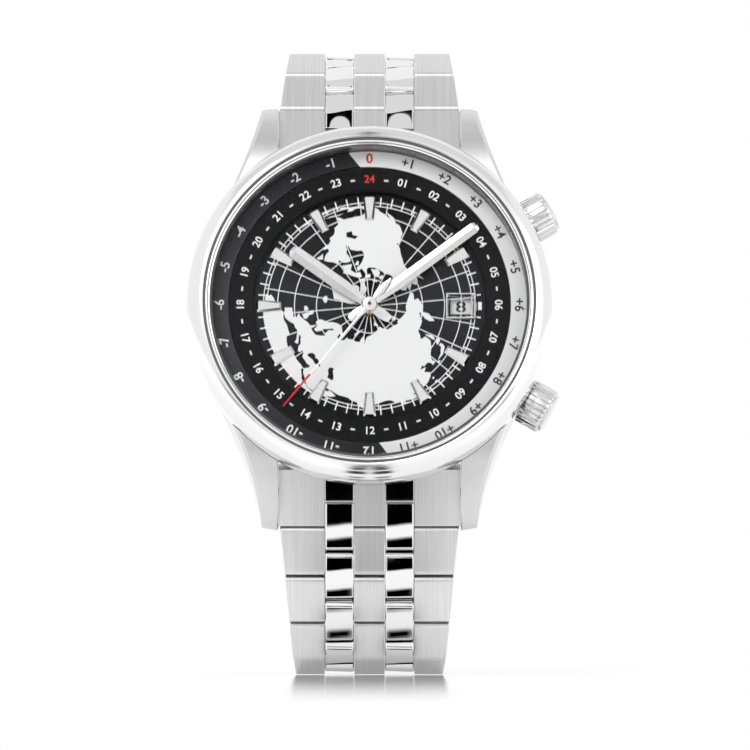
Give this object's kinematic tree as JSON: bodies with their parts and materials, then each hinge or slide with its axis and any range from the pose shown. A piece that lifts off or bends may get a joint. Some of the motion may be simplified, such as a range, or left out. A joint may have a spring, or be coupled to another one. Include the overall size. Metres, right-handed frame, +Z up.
{
  "type": "automatic wristwatch",
  "caption": "Automatic wristwatch on a five-column steel bracelet, with a turning inner ring, two crowns and a folding clasp",
  "frame": {"origin": "centre of the case back's outer face, on the hands' axis, where the watch meets the wrist", "axes": "+Z up as the watch stands, +X towards three o'clock; the dial faces -Y and leans back 12.5 degrees"},
  "size_m": [0.0429, 0.0511, 0.0718],
  "materials": {
    "brushed_steel": "satin brushed along the bracelet, with polished links between",
    "polished_steel": "mirror polished",
    "movement_steel": "fine satin",
    "sapphire": "clear polished",
    "white_nylon": "smooth",
    "black_rubber": "matt",
    "black_dial": "satin lacquer",
    "rhodium": "striped rhodium plate",
    "ruby": "polished",
    "gilt_brass": "gilt, circular grained",
    "blued_steel": "blued",
    "white_date": "matt white",
    "red_lacquer": "gloss red and steel"
  },
  "bodies": {
    "case": {"case_middle": "brushed_steel", "bezel": "polished_steel", "crystal": "sapphire", "crystal_gasket": "white_nylon", "case_back": "brushed_steel", "case_back_window": "sapphire", "case_back_gasket": "black_rubber", "movement_ring": "brushed_steel", "crown_tubes": "polished_steel", "dial": "black_dial", "hour_markers": "polished_steel", "offset_ring": "black_dial", "main_plate": "rhodium", "train_bridge": "rhodium", "balance_cock": "rhodium", "jewels": "ruby", "end_links": "brushed_steel", "spring_bars": "movement_steel", "hairspring": "blued_steel"},
    "city_ring": {"city_ring": "black_dial"},
    "city_crown": {"city_crown": "polished_steel"},
    "clutch": {"winding_clutch": "movement_steel"},
    "setting_crown": {"setting_crown": "polished_steel", "winding_stem": "movement_steel"},
    "barrel": {"barrel": "gilt_brass"},
    "centre_wheel": {"centre_wheel": "gilt_brass"},
    "third_wheel": {"third_wheel": "gilt_brass"},
    "fourth_wheel": {"fourth_wheel": "gilt_brass", "seconds_hand": "red_lacquer"},
    "escape_wheel": {"escape_wheel": "movement_steel"},
    "pallet_fork": {"pallet_fork": "movement_steel"},
    "balance_wheel": {"balance_wheel": "gilt_brass"},
    "cannon_pinion": {"cannon_pinion": "movement_steel", "minute_hand": "polished_steel"},
    "minute_wheel": {"minute_wheel": "gilt_brass"},
    "hour_wheel": {"hour_wheel": "gilt_brass", "hour_hand": "polished_steel"},
    "date_ring": {"date_ring": "white_date"},
    "rotor": {"rotor": "rhodium"},
    "clasp_blade_long": {"clasp_blade_long": "polished_steel"},
    "clasp_blade_short": {"clasp_blade_short": "polished_steel"},
    "clasp_cover": {"clasp_cover": "brushed_steel"},
    "clasp_button_left": {"clasp_button_left": "polished_steel"},
    "clasp_button_right": {"clasp_button_right": "polished_steel"},
    "link_12_1": {"link_12_1": "brushed_steel"},
    "link_12_2": {"link_12_2": "brushed_steel"},
    "link_12_3": {"link_12_3": "brushed_steel"},
    "link_12_4": {"link_12_4": "brushed_steel"},
    "link_12_5": {"link_12_5": "brushed_steel"},
    "link_12_6": {"link_12_6": "brushed_steel"},
    "link_12_7": {"link_12_7": "brushed_steel"},
    "link_12_8": {"link_12_8": "brushed_steel"},
    "link_6_1": {"link_6_1": "brushed_steel"},
    "link_6_2": {"link_6_2": "brushed_steel"},
    "link_6_3": {"link_6_3": "brushed_steel"},
    "link_6_4": {"link_6_4": "brushed_steel"},
    "link_6_5": {"link_6_5": "brushed_steel"},
    "link_6_6": {"link_6_6": "brushed_steel"},
    "link_6_7": {"link_6_7": "brushed_steel"},
    "link_6_8": {"link_6_8": "brushed_steel"}
  },
  "joints": [
    {"name": "seconds_train", "type": "hinge", "parent": "case", "child": "fourth_wheel", "pos_m": [0, -0.0041, 0.00091], "axis": [0, 0.9763, -0.2164], "continuous": true},
    {"name": "third_turn", "type": "hinge", "parent": "case", "child": "third_wheel", "pos_m": [-0.00442, -0.00477, -0.00211], "axis": [0, 0.9763, -0.2164], "continuous": true},
    {"name": "centre_turn", "type": "hinge", "parent": "case", "child": "centre_wheel", "pos_m": [0, -0.0041, 0.00091], "axis": [0, 0.9763, -0.2164], "continuous": true},
    {"name": "barrel_turn", "type": "hinge", "parent": "case", "child": "barrel", "pos_m": [0.00113, -0.00271, 0.00718], "axis": [0, 0.9763, -0.2164], "continuous": true},
    {"name": "escape_turn", "type": "hinge", "parent": "case", "child": "escape_wheel", "pos_m": [0.00137, -0.0052, -0.00407], "axis": [0, 0.9763, -0.2164], "continuous": true},
    {"name": "minute_turn", "type": "hinge", "parent": "case", "child": "cannon_pinion", "pos_m": [0, -0.0041, 0.00091], "axis": [0, 0.9763, -0.2164], "continuous": true},
    {"name": "minute_wheel_turn", "type": "hinge", "parent": "case", "child": "minute_wheel", "pos_m": [-0.00312, -0.00371, 0.00267], "axis": [0, 0.9763, -0.2164], "continuous": true},
    {"name": "hour_turn", "type": "hinge", "parent": "case", "child": "hour_wheel", "pos_m": [0, -0.0041, 0.00091], "axis": [0, 0.9763, -0.2164], "continuous": true},
    {"name": "pallet_swing", "type": "hinge", "parent": "case", "child": "pallet_fork", "pos_m": [0.00436, -0.00551, -0.00543], "axis": [0, 0.9763, -0.2164], "range_deg": [-5, 5]},
    {"name": "balance_swing", "type": "hinge", "parent": "case", "child": "balance_wheel", "pos_m": [0.00712, -0.00501, -0.00317], "axis": [0, 0.9763, -0.2164], "range_deg": [-270, 270], "deforming": ["hairspring"]},
    {"name": "date_turn", "type": "hinge", "parent": "case", "child": "date_ring", "pos_m": [0, -0.0041, 0.00091], "axis": [0, 0.9763, -0.2164], "continuous": true},
    {"name": "rotor_turn", "type": "hinge", "parent": "case", "child": "rotor", "pos_m": [0, -0.0041, 0.00091], "axis": [0, 0.9763, -0.2164], "continuous": true},
    {"name": "city_turn", "type": "hinge", "parent": "case", "child": "city_ring", "pos_m": [0, -0.0041, 0.00091], "axis": [0, 0.9763, -0.2164], "continuous": true},
    {"name": "city_crown_turn", "type": "hinge", "parent": "case", "child": "city_crown", "pos_m": [0, -0.0041, 0.00091], "axis": [0.866, -0.1082, -0.4881], "continuous": true},
    {"name": "winding_turn", "type": "hinge", "parent": "case", "child": "clutch", "pos_m": [0, -0.0041, 0.00091], "axis": [0.866, 0.1082, 0.4881], "continuous": true},
    {"name": "crown_pull", "type": "slide", "parent": "clutch", "child": "setting_crown", "axis": [0.866, 0.1082, 0.4881], "range_m": [0, 0.0016]},
    {"name": "row_12_1", "type": "hinge", "parent": "case", "child": "link_12_1", "pos_m": [0, 0.00433, 0.02229], "axis": [1, 0, 0], "range_deg": [0, 5.5]},
    {"name": "row_12_2", "type": "hinge", "parent": "link_12_1", "child": "link_12_2", "pos_m": [0, 0.00836, 0.02646], "axis": [1, 0, 0], "range_deg": [0, 19]},
    {"name": "row_12_3", "type": "hinge", "parent": "link_12_2", "child": "link_12_3", "pos_m": [0, 0.01352, 0.0291], "axis": [1, 0, 0], "range_deg": [0, 28]},
    {"name": "row_12_4", "type": "hinge", "parent": "link_12_3", "child": "link_12_4", "pos_m": [0, 0.01932, 0.029], "axis": [1, 0, 0], "range_deg": [0, 23]},
    {"name": "row_12_5", "type": "hinge", "parent": "link_12_4", "child": "link_12_5", "pos_m": [0, 0.02462, 0.02664], "axis": [1, 0, 0], "range_deg": [0, 19]},
    {"name": "row_12_6", "type": "hinge", "parent": "link_12_5", "child": "link_12_6", "pos_m": [0, 0.02886, 0.02268], "axis": [1, 0, 0], "range_deg": [0, 16]},
    {"name": "row_12_7", "type": "hinge", "parent": "link_12_6", "child": "link_12_7", "pos_m": [0, 0.03185, 0.01771], "axis": [1, 0, 0], "range_deg": [0, 12.5]},
    {"name": "row_12_8", "type": "hinge", "parent": "link_12_7", "child": "link_12_8", "pos_m": [0, 0.03369, 0.01221], "axis": [1, 0, 0], "range_deg": [0, 10.5]},
    {"name": "row_6_1", "type": "hinge", "parent": "case", "child": "link_6_1", "pos_m": [0, -0.0055, -0.02203], "axis": [-1, 0, 0], "range_deg": [0, 0.5]},
    {"name": "row_6_2", "type": "hinge", "parent": "link_6_1", "child": "link_6_2", "pos_m": [0, -0.0041, -0.02766], "axis": [-1, 0, 0], "range_deg": [0, 10]},
    {"name": "row_6_3", "type": "hinge", "parent": "link_6_2", "child": "link_6_3", "pos_m": [0, -0.00174, -0.03296], "axis": [-1, 0, 0], "range_deg": [0, 20]},
    {"name": "row_6_4", "type": "hinge", "parent": "link_6_3", "child": "link_6_4", "pos_m": [0, 0.00229, -0.03713], "axis": [-1, 0, 0], "range_deg": [0, 26]},
    {"name": "row_6_5", "type": "hinge", "parent": "link_6_4", "child": "link_6_5", "pos_m": [0, 0.00774, -0.03911], "axis": [-1, 0, 0], "range_deg": [0, 27]},
    {"name": "row_6_6", "type": "hinge", "parent": "link_6_5", "child": "link_6_6", "pos_m": [0, 0.0135, -0.03841], "axis": [-1, 0, 0], "range_deg": [0, 21]},
    {"name": "row_6_7", "type": "hinge", "parent": "link_6_6", "child": "link_6_7", "pos_m": [0, 0.01862, -0.03568], "axis": [-1, 0, 0], "range_deg": [0, 17]},
    {"name": "row_6_8", "type": "hinge", "parent": "link_6_7", "child": "link_6_8", "pos_m": [0, 0.02272, -0.03158], "axis": [-1, 0, 0], "range_deg": [0, 14]},
    {"name": "clasp_end", "type": "hinge", "parent": "link_12_8", "child": "clasp_blade_long", "pos_m": [0, 0.0345, 0.00647], "axis": [1, 0, 0], "range_deg": [0, 8.73]},
    {"name": "clasp_fold", "type": "hinge", "parent": "clasp_blade_long", "child": "clasp_blade_short", "pos_m": [0, 0.0259, -0.02313], "axis": [-1, 0, 0], "range_deg": [0, 90]},
    {"name": "clasp_open", "type": "hinge", "parent": "clasp_blade_short", "child": "clasp_cover", "pos_m": [0, 0.03291, 0.00296], "axis": [1, 0, 0], "range_deg": [0, 180]},
    {"name": "button_left_press", "type": "slide", "parent": "clasp_cover", "child": "clasp_button_left", "axis": [1, 0, 0], "range_m": [0, 0.0006], "stiffness_N_per_m": 200, "springref_m": -0.0005},
    {"name": "button_right_press", "type": "slide", "parent": "clasp_cover", "child": "clasp_button_right", "axis": [-1, 0, 0], "range_m": [0, 0.0006], "stiffness_N_per_m": 200, "springref_m": -0.0005}
  ],
  "couplings": [
    {"joint": "third_turn", "follows": "seconds_train", "ratio": -0.13333},
    {"joint": "centre_turn", "follows": "seconds_train", "ratio": 0.016667},
    {"joint": "barrel_turn", "follows": "seconds_train", "ratio": -0.0020833},
    {"joint": "escape_turn", "follows": "seconds_train", "ratio": -10},
    {"joint": "minute_wheel_turn", "follows": "minute_turn", "ratio": -0.33333},
    {"joint": "hour_turn", "follows": "minute_turn", "ratio": 0.083333},
    {"joint": "city_crown_turn", "follows": "city_turn", "ratio": 7.5},
    {"joint": "clasp_open", "follows": "clasp_fold", "ratio": 2}
  ]
}
